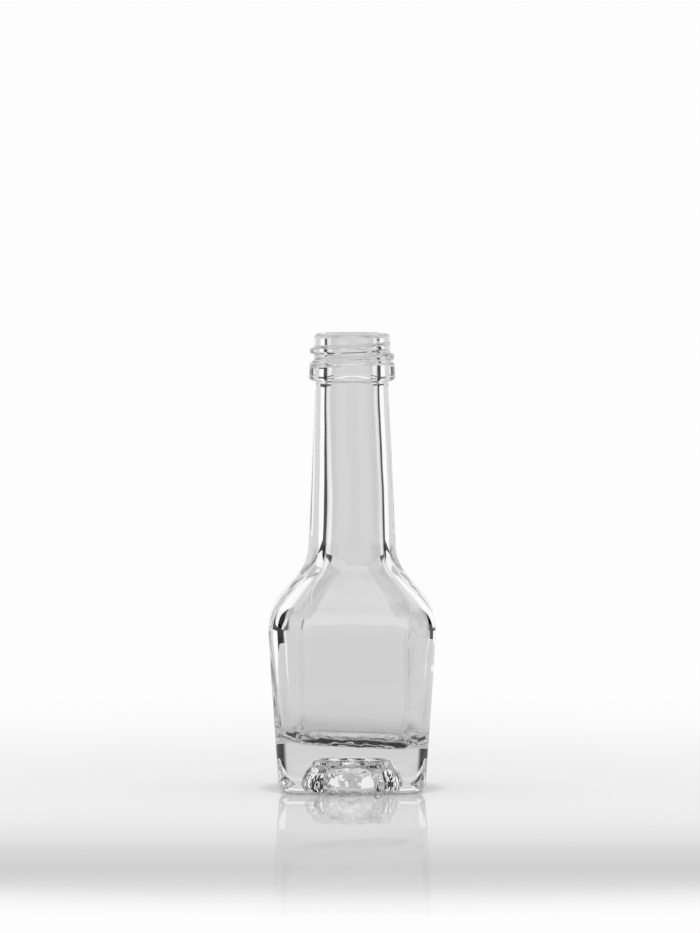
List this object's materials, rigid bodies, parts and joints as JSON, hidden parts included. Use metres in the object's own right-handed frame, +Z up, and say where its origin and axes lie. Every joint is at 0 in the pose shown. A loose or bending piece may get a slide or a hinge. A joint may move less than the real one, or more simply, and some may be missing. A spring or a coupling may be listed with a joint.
{
  "type": "liqueur bottle",
  "caption": "Empty clear glass miniature liqueur bottle: tapered square body on a thick domed foot, sloping shoulder, round neck and a screw-thread mouth with a locking ring.",
  "frame": {"origin": "middle of the foot, on the surface that the bottle stands on", "axes": "+Z up along the neck, -Y out of the flat face turned to the viewer, +X to that viewer's right"},
  "size_m": [0.0354, 0.0354, 0.0966],
  "materials": {
    "clear_glass": "clear moulded flint glass, fire-polished outside, slightly wavy inside"
  },
  "bodies": {
    "root": {"bottle": "clear_glass"}
  },
  "joints": []
}
